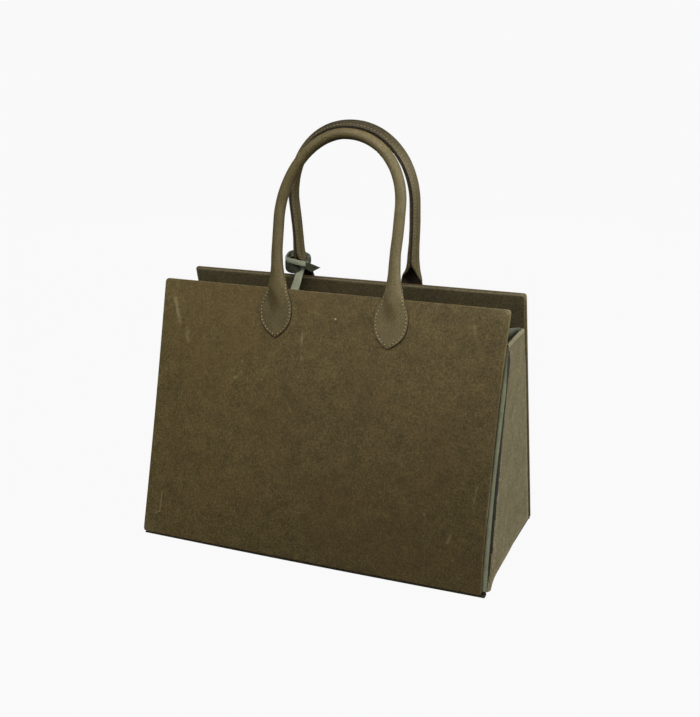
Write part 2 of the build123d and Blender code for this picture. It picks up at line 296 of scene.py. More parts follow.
def fold_with_handle(obj):
    """Bakes the piece's placement into its mesh; the piece does not bend with the handle."""
    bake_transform(obj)


# ---- Materials ----
class Nodes:
    """A material's node tree, built one call at a time."""

    def __init__(self, name):
        self.material = bpy.data.materials.new(name)
        self.material.use_nodes = True
        self.tree = self.material.node_tree
        self.tree.nodes.clear()
        self.shader = self.add("ShaderNodeBsdfPrincipled")
        output = self.add("ShaderNodeOutputMaterial")
        self.link(self.shader.outputs["BSDF"], output.inputs["Surface"])

    def add(self, kind, **settings):
        node = self.tree.nodes.new(kind)
        for key, value in settings.items():
            setattr(node, key, value)
        return node

    def link(self, source, target):
        self.tree.links.new(source, target)

    def shade(self, inputs):
        """Set inputs of the shader to numbers, colours or other nodes' results."""
        for name, source in inputs.items():
            self.feed(self.shader.inputs[name], source)

    def stored(self, attribute, output="Fac"):
        """A value stored on the mesh, 0 where there is none."""
        return self.add("ShaderNodeAttribute", attribute_name=attribute).outputs[output]

    def place(self, attribute=None):
        """Coordinates in metres: the object's own, or ones stored on the mesh."""
        if attribute:
            return self.stored(attribute, "Vector")
        return self.add("ShaderNodeTexCoord").outputs["Object"]

    def stretch(self, vector, scale):
        mapping = self.add("ShaderNodeMapping")
        mapping.inputs["Scale"].default_value = scale
        self.link(vector, mapping.inputs["Vector"])
        return mapping.outputs["Vector"]

    def noise(self, vector, scale, detail=3.0, roughness=0.55):
        node = self.add("ShaderNodeTexNoise")
        node.inputs["Scale"].default_value = scale
        node.inputs["Detail"].default_value = detail
        node.inputs["Roughness"].default_value = roughness
        self.link(vector, node.inputs["Vector"])
        return node.outputs["Fac"]

    def levels(self, value, low, high, to_low=0.0, to_high=1.0):
        node = self.add("ShaderNodeMapRange", interpolation_type="SMOOTHSTEP")
        for key, number in (("From Min", low), ("From Max", high), ("To Min", to_low), ("To Max", to_high)):
            node.inputs[key].default_value = number
        self.link(value, node.inputs["Value"])
        return node.outputs["Result"]

    def ramp(self, value, stops):
        node = self.add("ShaderNodeValToRGB")
        for index, (position, colour) in enumerate(stops):
            if index < 2:
                element = node.color_ramp.elements[index]
                element.position = position
            else:
                element = node.color_ramp.elements.new(position)
            element.color = (*colour, 1.0)
        self.link(value, node.inputs["Fac"])
        return node.outputs["Color"]

    def mix(self, factor, first, second, blend="MIX"):
        node = self.add("ShaderNodeMix", data_type="RGBA", blend_type=blend)
        for socket, source in ((node.inputs["Factor"], factor), (node.inputs["A"], first),
                               (node.inputs["B"], second)):
            self.feed(socket, source)
        return [s for s in node.outputs if s.type == "RGBA"][0]

    def feed(self, socket, source):
        if isinstance(source, (int, float)):
            socket.default_value = source
        elif isinstance(source, tuple):
            socket.default_value = (*source, 1.0)
        else:
            self.link(source, socket)

    def math(self, operation, first, second):
        node = self.add("ShaderNodeMath", operation=operation)
        self.feed(node.inputs[0], first)
        self.feed(node.inputs[1], second)
        return node.outputs[0]

    def weigh(self, first, share, second, other):
        """The sum of two values, each times its share."""
        return self.math("ADD", self.math("MULTIPLY", first, share), self.math("MULTIPLY", second, other))

    def vector_math(self, operation, first, second):
        node = self.add("ShaderNodeVectorMath", operation=operation)
        for socket, source in zip(node.inputs, (first, second)):
            if isinstance(source, tuple):
                socket.default_value = source
            else:
                self.link(source, socket)
        return node.outputs["Value" if operation in ("DOT_PRODUCT", "LENGTH", "DISTANCE") else "Vector"]

    def stroke(self, vector, start, end, width):
        """A mask along a straight line between two points seen from the front, in millimetres."""
        a = np.array([start[0], 0, start[1]]) * MM
        b = np.array([end[0], 0, end[1]]) * MM
        flat = self.vector_math("MULTIPLY", vector, (1.0, 0.0, 1.0))
        away = self.vector_math("SUBTRACT", flat, tuple(a))
        share = self.vector_math("DOT_PRODUCT", away, tuple((b - a) / np.dot(b - a, b - a)))
        node = self.add("ShaderNodeClamp")
        self.link(share, node.inputs["Value"])
        along = self.add("ShaderNodeVectorMath", operation="SCALE")
        along.inputs[0].default_value = tuple(b - a)
        self.link(node.outputs["Result"], along.inputs["Scale"])
        gap = self.vector_math("DISTANCE", away, along.outputs["Vector"])
        return self.levels(gap, 0.0, width * MM, 1.0, 0.0)

    def bump(self, height, distance, strength=1.0, below=None):
        node = self.add("ShaderNodeBump")
        node.inputs["Distance"].default_value = distance
        node.inputs["Strength"].default_value = strength
        self.link(height, node.inputs["Height"])
        if below:
            self.link(below, node.inputs["Normal"])
        return node.outputs["Normal"]


def srgb(colour):
    """Linear colour from the usual 0 to 255 values."""
    return tuple(((c / 255 + 0.055) / 1.055) ** 2.4 if c > 10 else c / 255 / 12.92 for c in colour)


SHADED_KEEPS = (0.30, 0.28, 0.20)   # what places of painted shade and of dark tab edges keep of their colour
WEAVE_SCALE = 1600.0 / 6.0


def leather(name, dark, mid, light, worn, place=None, streaks=0.2, grain=1.0, red=0.3, marks=()):
    """Matte oiled leather: cloudy, with pores, reddish patches, streaks, scratches and rubbed edges.

    marks are strokes of worn colour (start, end, width). A mesh's wear makes it paler; its painted shade,
    and the dark edges of tabs, make it darker."""
    n = Nodes(name)
    dark, mid, light, worn = (srgb(colour) for colour in (dark, mid, light, worn))
    place = n.place(place)
    cloud = n.noise(place, 75.0, 9.0, 0.72)
    speck = n.noise(place, 560.0, 5.0, 0.72)
    tone = n.weigh(cloud, 0.28, speck, 0.72)
    colour = n.ramp(tone, [(0.40, dark), (0.60, light), (0.50, mid)])
    patch = n.levels(n.noise(place, 14.0, 4.0), 0.45, 0.66, 0.0, red)
    colour = n.mix(patch, colour, tuple(c * k for c, k in zip(mid, (1.0, 0.78, 0.74))))
    fibre = n.noise(n.stretch(place, (420.0, 420.0, 26.0)), 1.0, 3.0, 0.6)
    colour = n.mix(n.levels(fibre, 0.60, 0.78, 0.0, streaks), colour, worn)
    scratch = n.noise(n.stretch(place, (150.0, 150.0, 1100.0)), 1.0, 2.0, 0.5)
    colour = n.mix(n.levels(scratch, 0.68, 0.80, 0.0, 0.20), colour, worn)
    rub = n.math("MULTIPLY", n.stored("wear"), n.levels(speck, 0.25, 0.65, 0.35, 1.0))
    for mark in marks:
        ragged = n.math("MULTIPLY", n.stroke(place, *mark), n.levels(cloud, 0.40, 0.60, 0.08, 0.60))
        rub = n.math("MAXIMUM", rub, ragged)
    colour = n.mix(rub, colour, worn)
    folds = n.bump(n.noise(place, 210.0, 4.0, 0.6), 0.00025 * grain, 0.5)
    pores = n.bump(n.noise(place, 1500.0, 3.0, 0.65), 0.00010 * grain, 0.7, folds)
    # Painted shade, and the dark edges of tabs: the stored value darkens the colour.
    n.shade({"Base Color": n.mix(n.stored("soil"), colour, SHADED_KEEPS, "MULTIPLY"),
             "Roughness": n.levels(tone, 0.35, 0.65, 0.70, 0.54), "Specular IOR Level": 0.28,
             "Normal": pores})
    return n.material


def suede(name, dark, light):
    """Flesh side of the leather: soft, pale and fibrous."""
    n = Nodes(name)
    place = n.place()
    nap = n.noise(place, 900.0, 5.0, 0.75)
    tone = n.weigh(nap, 0.6, n.noise(place, 70.0, 3.0), 0.4)
    n.shade({"Base Color": n.ramp(tone, [(0.35, srgb(dark)), (0.65, srgb(light))]), "Roughness": 0.9,
             "Specular IOR Level": 0.15, "Sheen Weight": 0.25, "Sheen Roughness": 0.6,
             "Normal": n.bump(nap, 0.0002, 0.8)})
    return n.material


def woven(name, dark, light):
    """Plain weave lining cloth."""
    n = Nodes(name)
    place = n.place()
    threads = []
    for direction in "XYZ":
        wave = n.add("ShaderNodeTexWave", wave_type="BANDS", bands_direction=direction)
        wave.inputs["Scale"].default_value = WEAVE_SCALE
        wave.inputs["Distortion"].default_value = 0.6
        wave.inputs["Detail"].default_value = 1.0
        n.link(place, wave.inputs["Vector"])
        threads.append(wave.outputs["Fac"])
    over = n.math("MULTIPLY", threads[2], n.math("ADD", threads[0], threads[1]))
    tone = n.weigh(over, 0.35, n.noise(place, 60.0, 3.0), 0.55)
    n.shade({"Base Color": n.ramp(tone, [(0.2, srgb(dark)), (0.75, srgb(light))]), "Roughness": 0.88,
             "Specular IOR Level": 0.2, "Sheen Weight": 0.15, "Normal": n.bump(over, 0.0001, 0.7)})
    return n.material


def speckled(name, dark, light, noise, roughness, bump):
    """Plain stuff whose colour and relief follow one fine noise."""
    n = Nodes(name)
    fleck = n.noise(n.place(), *noise)
    n.shade({"Base Color": n.ramp(fleck, [(0.3, srgb(dark)), (0.7, srgb(light))]), "Roughness": roughness,
             "Normal": n.bump(fleck, *bump)})
    return n.material


def waxed_thread(name, dark, light):
    return speckled(name, dark, light, (2600.0, 2.0), 0.6, (0.0001, 0.8))


def twisted_cord(name, dark, light):
    n = Nodes(name)
    wave = n.add("ShaderNodeTexWave", wave_type="BANDS", bands_direction="DIAGONAL")
    wave.inputs["Scale"].default_value = 180.0
    n.link(n.place(), wave.inputs["Vector"])
    twist = wave.outputs["Fac"]
    n.shade({"Base Color": n.ramp(twist, [(0.2, srgb(dark)), (0.8, srgb(light))]), "Roughness": 0.95,
             "Normal": n.bump(twist, 0.0004, 0.8)})
    return n.material


def old_brass(name, dark, light):
    n = Nodes(name)
    tarnish = n.noise(n.place(), 900.0, 3.0)
    n.shade({"Base Color": n.ramp(tarnish, [(0.35, srgb(dark)), (0.65, srgb(light))]), "Metallic": 1.0,
             "Roughness": n.levels(tarnish, 0.3, 0.7, 0.5, 0.25), "Normal": n.bump(tarnish, 0.00005, 0.5)})
    return n.material


# Colours from 0 to 255: dark, middle, light and worn.
OLIVE = dict(dark=(61, 51, 24), mid=(82, 70, 37), light=(103, 88, 52), worn=(134, 122, 88))
# Strokes of wear on the front, seen from the front in millimetres: start, end, width.
FRONT_MARKS = [((-164, 24), (-163, 46), 1.3), ((-164, 24), (-170, 21), 1.2),
               ((-168, 236), (-160, 214), 3.5), ((-151, 207), (-149, 196), 4.0),
               ((-23, 215), (-21, 190), 2.0), ((-92, 166), (-84, 172), 2.4),
               ((-33, 150), (-27, 140), 1.4), ((143, 43), (146, 52), 1.8),
               ((134, 170), (139, 176), 1.4), ((163, 78), (166, 96), 1.6),
               ((148, 238), (152, 222), 3.0), ((120, 60), (118, 66), 1.4)]
panel_leather = leather("panel_leather", **OLIVE)
front_leather = leather("front_leather", **OLIVE, marks=FRONT_MARKS)
# The sides' leather: its own olive colour, painted paler and greyer to stand in for the raking light and
# sheen on the sides.
gusset_leather = leather("gusset_leather", (76, 70, 47), (100, 93, 67), (122, 114, 87),
                         (146, 139, 112), streaks=0.55, red=0.15)
handle_leather = leather("handle_leather", (60, 52, 28), (76, 67, 38), (88, 79, 48),
                         (116, 105, 74), place="strip", streaks=0.35, grain=0.7)
handle_inside = leather("handle_inside", (36, 29, 23), (48, 39, 32), (64, 53, 44), (76, 66, 54),
                        place="strip", streaks=0.3)
facing_leather = leather("facing_leather", (62, 55, 36), (80, 72, 49), (94, 86, 62),
                         (116, 107, 84), streaks=0.12)
# Also laid into the gaps behind the gussets' front flanges as painted shade.
base_leather = leather("base_leather", (22, 20, 13), (30, 27, 18), (38, 34, 24), (52, 46, 33))
lace_suede = suede("lace_suede", (120, 124, 100), (150, 153, 129))
lace_grain = leather("lace_grain", (40, 41, 31), (56, 58, 45), (72, 74, 60), (96, 98, 82))
flange_suede = suede("flange_suede", (100, 104, 78), (130, 133, 104))
lining_cloth = woven("lining_cloth", (60, 60, 50), (84, 83, 70))
side_cloth = woven("side_cloth", (72, 75, 60), (96, 99, 81))
thread_material = waxed_thread("thread", (124, 110, 70), (166, 149, 102))
dark_thread = waxed_thread("dark_thread", (94, 84, 52), (124, 112, 74))
# Painted shade inside the needle holes.
needle_hole_shade = waxed_thread("needle_hole_shade", (20, 17, 10), (34, 29, 18))
board_material = speckled("board", (96, 84, 66), (128, 114, 92), (700.0, 4.0, 0.7), 0.93, (0.0002, 0.6))
backing_material = woven("backing", (150, 144, 124), (186, 180, 160))
core_material = twisted_cord("cord_core", (140, 130, 106), (190, 180, 152))
tack_material = old_brass("tack_metal", (120, 104, 70), (176, 160, 120))


# ---- Stitches ----
def sample_line(line, pitch):
    """Points every pitch along a polyline, with the direction there."""
    along = lengths_along(line)
    count = max(2, int(round(along[-1] / pitch)))
    marks = (np.arange(count) + 0.5) * along[-1] / count
    direction = points_at(marks + 0.3 * MM, along, line) - points_at(marks - 0.3 * MM, along, line)
    return points_at(marks, along, line), unit(direction), marks, along


def stitch_template():
    """One stitch: a short thread that dips into the leather, and the needle holes at its ends, dark with
    painted shade.
    """
    rings, sides = 7, 6
    rows, faces = [], []
    for i in range(rings):
        t = -1 + 2 * i / (rings - 1)
        radius = THREAD / 2 * math.sqrt(max(0.05, 1 - t * t * 0.9))
        for j in range(sides):
            a = 2 * math.pi * j / sides
            rows.append((t * STITCH_LENGTH / 2, math.cos(a) * radius,
                         math.sin(a) * radius * 0.8 + 0.12 * MM - 0.42 * MM * t ** 4))
    for i in range(rings - 1):
        for j in range(sides):
            k = (j + 1) % sides
            faces.append((i * sides + j, i * sides + k, (i + 1) * sides + k, (i + 1) * sides + j))
    faces.append(tuple(reversed(range(sides))))
    faces.append(tuple(range((rings - 1) * sides, rings * sides)))
    kinds = [0] * len(faces)
    for end in (-1, 1):
        first = len(rows)
        middle = end * (STITCH_LENGTH / 2 + 0.1 * MM)
        faces.append(tuple(range(first, first + sides)))
        faces.extend((first + (j + 1) % sides, first + j, first + sides) for j in range(sides))
        kinds.extend([1] * (sides + 1))
        for j in range(sides):
            a = 2 * math.pi * j / sides
            rows.append((middle + math.cos(a) * HOLE, math.sin(a) * HOLE, 0.07 * MM))
        rows.append((middle, 0.0, -0.3 * MM))
    return np.array(rows), faces, kinds


STITCH_POINTS, STITCH_FACES, STITCH_KINDS = stitch_template()


def stitches(name, lines, thread=None):
    """Rows of stitches as one mesh; each line is (points, normals)."""
    vertices, faces, kinds = [], [], []
    for line, normals in lines:
        places, direction, marks, along = sample_line(line, STITCH_PITCH)
        normal = square_to(points_at(marks, along, normals), direction)
        for p, d, n in zip(places, direction, normal):
            skew = rng.uniform(-0.10, 0.10)
            d = d * math.cos(skew) + np.cross(n, d) * math.sin(skew)
            base = len(vertices)
            vertices.extend(p + STITCH_POINTS @ np.array([d, np.cross(n, d), n]))
            faces.extend(tuple(base + i for i in face) for face in STITCH_FACES)
            kinds.extend(STITCH_KINDS)
    obj = new_object(name, vertices, faces, kinds)
    obj.data.materials.append(thread or thread_material)
    obj.data.materials.append(needle_hole_shade)
    return obj


# ---- Panels ----
def panel_grid(half, low, high, corners=(), step=9 * MM):
    """Points over a rectangle with rounded corners, and how far each lies from the edge.

    corners are radii in this order: top left, top right, bottom left, bottom right."""
    x, v = np.meshgrid(spaced(-half, half, step), spaced(low, high, step))
    edge = np.minimum(half - np.abs(x), np.minimum(v - low, high - v))
    for radius, level, way, hand in zip(corners, (high, high, low, low), (1, 1, -1, -1), (-1, 1, -1, 1)):
        a = np.clip((hand * x - (half - radius)) / radius, 0, 1)
        b = np.clip(1 - way * (level - v) / radius, 0, 1)
        x = x + hand * radius * a * (np.sqrt(1 - b * b / 2) - 1)
        v = v + way * radius * b * (np.sqrt(1 - a * a / 2) - 1)
    return x, v, edge


def rounded(edge, radius):
    """How far a surface drops near its edge, for a quarter-round of this radius."""
    inside = np.clip(radius - edge, 0, radius)
    return radius - np.sqrt(radius * radius - inside * inside)


def level_cut(panel, v, low, high, depth):
    """Shift along the slope that keeps the foot of an inner face level with the outer one."""
    lean = panel.up[1] / panel.up[2] * -panel.side
    return v + depth * lean * (1 - (v - low) / (high - low))


def foot_bulge(panel, x, v=0.0):
    """How far a panel's foot bows outwards between its corners."""
    arc = np.sin(np.clip((x + panel.half) / (2 * panel.half), 0, 1) * np.pi)
    return FOOT_BULGE[panel.name] * arc * np.clip(1 - v / panel.slope, 0, 1) ** 2


def hand_cut(panel, x, v):
    """The front's outline as cut: wide on the left, hollow on the right, high at the top left."""
    if panel.side > 0:
        return x, v
    left = np.clip(-x / panel.half, 0, 1)
    right = np.clip(x / panel.half, 0, 1) ** 4
    climb = np.clip(v / panel.slope, 0, 1)
    wide = (1.9 - 0.9 * np.sin(np.pi * climb)) * MM * left
    x = x - wide - curve_through(RIGHT_HOLLOW, climb) * MM * right
    return x, v + 1.2 * MM * climb * (0.5 - x / (2 * panel.half))


def panel_wear(panel, x, v, edge, seed):
    """Where a panel is paler: along its rim, most on the right and high up, and at three corners."""
    fray = waves(seed, 12, 5 * MM)(x, v)
    rim = 1 - ramp(edge, 0.3 * MM, 2.2 * MM)
    right = ramp(x, panel.half - 4 * MM, panel.half - 1 * MM) * ramp(v, 60 * MM, 200 * MM)
    foot_left = ramp(-x, panel.half - 26 * MM, panel.half) * ramp(v, 32 * MM, 0)
    top_right = ramp(x, panel.half - 30 * MM, panel.half) * ramp(v, panel.slope - 24 * MM, panel.slope)
    tip = ramp(np.hypot(panel.half - x, panel.slope - v), 9 * MM, 2 * MM)
    wear = rim * (0.12 + 0.25 * fray) * (0.05 + 0.95 * right)
    wear = wear + (0.5 * foot_left + 0.3 * top_right) * (0.6 + 1.2 * fray) + 0.5 * tip
    return np.clip(wear, 0, 1)


def panel_soil(panel, x, v):
    """Painted shade that darkens a panel: low down, about its middle, and along one edge (the front's right
    edge, the back's top edge).
    """
    soil = 0.24 * ramp(v - 0.5 * x, 130 * MM, -20 * MM) + 0.12 * ramp(x, -110 * MM, -20 * MM)
    soil = soil + 0.08 * np.exp(-(x / (70 * MM)) ** 2 - ((v - 120 * MM) / (55 * MM)) ** 2)
    if panel.side < 0:
        edge = 0.6 * ramp(x, panel.half - 1.8 * MM, panel.half - 0.3 * MM) * ramp(v, 220 * MM, 180 * MM)
    else:
        edge = 0.55 * ramp(v, panel.slope - 3 * MM, panel.slope - 0.5 * MM)
    return np.maximum(soil, edge)


def make_panel(panel, seed):
    low = PANEL_LIFT / panel.up[2]
    x, v, edge = panel_grid(panel.half, low, panel.slope, CORNERS[panel.name], step=5 * MM)
    swell = 0.45 * MM * waves(seed, 6, 80 * MM)(x, v) * ramp(edge, 0, 12 * MM)
    lumps = 0.08 * MM * waves(seed + 1, 14, 14 * MM)(x, v) * ramp(edge, 0, 3 * MM)
    drop = rounded(edge, EDGE_ROUND)
    cut_x, cut_v = hand_cut(panel, x, v)
    outer = panel.at(cut_x, cut_v, swell + lumps + foot_bulge(panel, x, v) - drop)
    inner = panel.at(cut_x, level_cut(panel, cut_v, low, panel.slope, WRAP), -WRAP + drop)
    obj = shell(f"{panel.name}_leather", outer, inner, flip=panel.side > 0,
                wear=panel_wear(panel, x, v, edge, seed + 2), soil=panel_soil(panel, x, v))
    material = front_leather if panel.side < 0 else panel_leather
    settle(obj, material, replaces=[f"{panel.name}_panel"])


def make_facing(panel, seed):
    low, high = panel.slope - FACING_DROP, panel.slope - 0.7 * MM
    x, v, edge = panel_grid(panel.half - 1.2 * MM, low, high, (3.5 * MM, 3.5 * MM))
    swell = waves(seed, 8, 30 * MM)
    drop = rounded(edge, 0.45 * MM)
    height = 0.18 * MM * swell(x, v) * ramp(edge, 0, 4 * MM)
    outer = panel.at(x, v, -WRAP + 0.05 * MM)
    inner = panel.at(x, v, -WRAP - FACING - height + drop)
    wear = 0.5 * (1 - ramp(edge, 0.2 * MM, 2.5 * MM))
    obj = shell(f"{panel.name}_inside_band", outer, inner, flip=panel.side > 0, wear=wear)
    settle(obj, facing_leather, replaces=[f"{panel.name}_facing"])
    line_x = np.linspace(-panel.half + 8 * MM, panel.half - 8 * MM, 160)
    line = panel.at(line_x, low + 3 * MM, -WRAP - FACING)
    normals = np.broadcast_to(-panel.out, line.shape)
    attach(stitches(f"{panel.name}_inside_band_stitches", [(line, normals)]), "root")


def make_panel_lining(panel, seed):
    low, high = 5.2 * MM / panel.up[2], panel.slope - FACING_DROP - 0.3 * MM
    x, v, edge = panel_grid(panel.half - 6 * MM, low, high)
    swell = waves(seed, 9, 28 * MM)
    height = 0.35 * MM * (swell(x, v) + 0.6) * ramp(edge, 0, 8 * MM)
    outer = panel.at(x, v, -WRAP)
    inner = panel.at(x, v, -WRAP - LINING - height)
    obj = shell(f"{panel.name}_cloth", outer, inner, flip=panel.side > 0)
    settle(obj, lining_cloth, replaces=[f"{panel.name}_lining"])


# ---- Base ----
def make_base():
    inset = 0.1 * MM
    x, y, edge = panel_grid(front.half - 1.2 * MM, front.foot[1] + inset, back.foot[1] - inset)
    share = (y - front.foot[1]) / (back.foot[1] - front.foot[1])
    y = y - foot_bulge(front, x) * ramp(share, 0.2, 0) + foot_bulge(back, x) * ramp(share, 0.8, 1)
    drop = rounded(edge, 0.25 * MM)
    x = x + 4.0 * MM * ramp(x, front.half - 9 * MM, front.half - 2 * MM) * ramp(share, 0.09, 0.03)
    top = at_height(x, y, PANEL_LIFT - drop * 0.5)
    wear = 0.2 * (1 - ramp(edge, 0.3 * MM, 6 * MM))
    leather_sheet = shell("base_leather", top, at_height(x, y, drop), wear=wear)
    settle(leather_sheet, base_leather, replaces=["base_panel"])
    low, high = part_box("base_lining")
    x, y, edge = panel_grid(high.x, low.y + 0.3 * MM, high.y - 0.3 * MM)
    rise = 0.5 * MM * (waves(31, 9, 35 * MM)(x, y) + 0.7) * ramp(edge, 0, 10 * MM)
    cloth = shell("base_cloth", at_height(x, y, high.z + rise), at_height(x, y, low.z))
    settle(cloth, lining_cloth, replaces=["base_lining"])


# ---- Gussets ----
# How far the outer face of a gusset stands from the middle, in mm, on the ground, front to back.
RIGHT_FOOT_LINE = [(0.0, 178.4), (0.015, 180.6), (0.035, 183.6), (0.05, 184.2), (0.08, 183.4),
                   (0.15, 181.6), (0.22, 180.6), (0.32, 180.2), (0.52, 179.7), (0.60, 179.2),
                   (0.70, 178.7), (1.0, 178.3)]
LEFT_FOOT_LINE = [(0.0, 179.6), (0.15, 179.2), (0.5, 178.7), (1.0, 178.4)]
# How far the edge of each front flange stands from the middle, in mm, from the ground up.
RIGHT_FLANGE = [(0.0, 183.6), (0.1, 182.6), (0.25, 181.7), (0.45, 181.1), (0.65, 181.5), (0.82, 182.0),
                (0.90, 180.8), (0.95, 180.2), (1.0, 179.7)]
LEFT_FLANGE = [(0.0, 181.3), (1.0, 179.6)]
# Behind its front seam the gusset first falls back and then puffs out, in mm, front to back.
SEAM_PUFF = [(0.0, -1.0), (0.018, -0.4), (0.045, 2.0), (0.075, 2.6), (0.14, 1.6), (0.25, 0.3),
             (0.4, 0.0), (1.0, 0.0)]


class Gusset:
    """One side of the bag: its outer face at any height (0 to 1) and place from front to back (0 to 1)."""

    def __init__(self, name, hand, foot_line, flange_line):
        self.name = name
        self.hand = hand
        self.foot_line = foot_line
        self.flange_line = flange_line
        self.swell = waves(41 + hand, 6, 60 * MM)

    def top(self, u):
        return GUSSET_TOP_FRONT + (GUSSET_TOP_BACK - GUSSET_TOP_FRONT) * u

    def face(self, t, u):
        foot = curve_through(self.foot_line, u) * MM
        flare = (1 - t) ** 1.7
        hollow = 0.9 * MM * np.sin(np.pi * u) * np.sin(np.pi * np.clip(t, 0, 1) ** 0.8)
        swell = 0.4 * MM * self.swell(u * 0.15, t * 0.23) * np.sin(np.pi * u)
        puff = curve_through(SEAM_PUFF, u * (1.65 - t)) * MM * ramp(t, 0, 0.12) * ramp(t, 1.0, 0.93)
        return GUSSET_FACE + (foot - GUSSET_FACE) * flare - hollow + swell + puff

    def flange(self, t, side):
        if side < 0:
            return curve_through(self.flange_line, t) * MM
        return BACK_FLANGE + 0.3 * MM * (1 - t)

    def span(self, z, depth):
        """Y of the two ends at height z, depth behind the panels' outer faces."""
        return front.y_at(z, depth), back.y_at(z, depth)

    def at(self, x, y, z):
        return at_height(self.hand * x, y, z)


def gusset_columns(gusset, t, z):
    """Plan of the gusset's outer face at each height: flange, turn, face, turn, flange."""
    wall = WRAP + GUSSET + 0.1 * MM + FACING * ramp(t, 0.84, 0.90)
    y_front, y_back = gusset.span(z, wall)
    ends = []
    for side, y_end in ((-1, y_front), (1, y_back)):
        face = gusset.face(t, np.full_like(t, max(side, 0)))
        tip = np.maximum(gusset.flange(t, side), face + 0.4 * MM)
        turn = np.minimum(GUSSET_TURN, (tip - face) * 0.8)
        part = [(tip + (face + turn - tip) * share, y_end) for share in (0.0, 0.35, 0.7, 1.0)]
        for angle in np.radians([18, 36, 54, 72, 90]):
            part.append((face + turn * (1 - np.sin(angle)), y_end - side * turn * (1 - np.cos(angle))))
        ends.append(part[::-side])
    y_start = y_front + GUSSET_TURN
    y_stop = y_back - GUSSET_TURN
    shares = np.concatenate([np.linspace(0.004, 0.096, 24), np.linspace(0.1, 0.98, 42)])
    middle = [(gusset.face(t, np.full_like(t, u)), y_start + (y_stop - y_start) * u) for u in shares]
    columns = ends[0] + middle + ends[1]
    return np.stack([np.stack(column, axis=-1) for column in columns], axis=1)


def make_gusset(gusset):
    t = np.concatenate([[0, 0.004, 0.01], np.linspace(0.02, 0.98, 50), [0.99, 1.0]])
    z = t * (GUSSET_TOP_FRONT + GUSSET_TOP_BACK) / 2
    plan = gusset_columns(gusset, t, z)
    y_front, y_back = gusset.span(z, WRAP)
    u = (plan[:, :, 1] - y_front[:, None]) / (y_back - y_front)[:, None]
    lift = (1 - t[:, None]) ** 12 * 3.5 * MM * (u < 0.012)
    height = t[:, None] * gusset.top(u) + (1 - t[:, None]) * 0.5 * MM + lift
    outer = gusset.at(plan[:, :, 0], plan[:, :, 1], height)
    inner = outer - surface_normals(outer) * GUSSET * gusset.hand
    side_edge = np.minimum(u, 1 - u)
    wear = 0.5 * (1 - ramp(side_edge, 0.01, 0.05)) + 0.3 * (1 - ramp(t, 0, 0.03))[:, None]
    obj = shell(f"{gusset.name}_side_leather", outer, inner, flip=gusset.hand < 0, wear=wear)
    settle(obj, gusset_leather, inside=flange_suede, rim=base_leather,
           replaces=[f"{gusset.name}_gusset"])
    # Painted shade: the gap behind the front flange takes the dark rim leather.
    paint_crevice_shade(obj, outer)
    make_flange_stitches(gusset, outer)


def paint_crevice_shade(obj, outer):
    """Painted shade in the narrow gap behind the front flange: its faces take the dark rim material,
    reaching deeper into the gap towards the top.
    """
    cells = outer.shape[1] - 1
    for row, depth in enumerate(np.linspace(4.9 * MM, 7.0 * MM, len(outer) - 1)):
        dark = int(np.sum(outer[row, :, 1] - outer[row, 0, 1] < depth))
        for face in obj.data.polygons[row * cells:row * cells + dark]:
            face.material_index = 2


def make_flange_stitches(gusset, outer):
    """Stitches through the turned-out front edge, seen in the gap beside it."""
    column = outer[:, 2] + np.array([0.0, 0.1 * MM, 0.0])
    normals = np.broadcast_to(np.array([0.35 * gusset.hand, 1.0, 0.0]), column.shape)
    keep = slice(6, len(column) - 2)
    obj = stitches(f"{gusset.name}_side_stitches", [(column[keep], normals[keep])])
    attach(obj, "root")


def make_binding(gusset):
    """Leather strip folded over the gusset's top edge."""
    u = np.linspace(0.05, 0.93, 40)
    z_top = gusset.top(u)
    y_front, y_back = gusset.span(z_top, WRAP + FACING)
    y = y_front + (y_back - y_front) * u
    face = gusset.face(np.ones_like(u), u)
    middle, half = face - GUSSET / 2, GUSSET / 2
    profile = [(half, drop * MM) for drop in (-5.2, -4.6, -4.2, -3.4, -3.1, -2.4, -2.0, 0)]
    profile += [(half * math.cos(a), half * math.sin(a)) for a in np.radians([30, 60, 90, 120, 150])]
    profile += [(-half, 0), (-half, -4 * MM), (-half, -8 * MM)]
    outer, inner = [], []
    for index, (offset, rise) in enumerate(profile):
        grow = 1 + BINDING / half if rise > 0 else 1
        away = math.copysign(BINDING, offset) if rise <= 0 else offset * (grow - 1)
        lift = rise * (grow - 1) if rise > 0 else 0
        thin = 0.8 if index == 0 else 1.0
        inner.append(gusset.at(middle + offset, y, z_top + rise))
        outer.append(gusset.at(middle + offset + away * thin, y, z_top + rise + lift))
    outer, inner = np.array(outer), np.array(inner)
    wear = np.full(outer.shape[:2], 0.45)
    # Painted shade: dark lines along the binding's lower edge and partway up its face.
    soil = np.zeros(outer.shape[:2])
    soil[[0, 1, 4, 5]] = 1.0
    obj = shell(f"{gusset.name}_side_binding", outer, inner, flip=gusset.hand > 0, wear=wear, soil=soil)
    settle(obj, gusset_leather, inside=base_leather, rim=base_leather,
           replaces=[f"{gusset.name}_gusset_binding"])


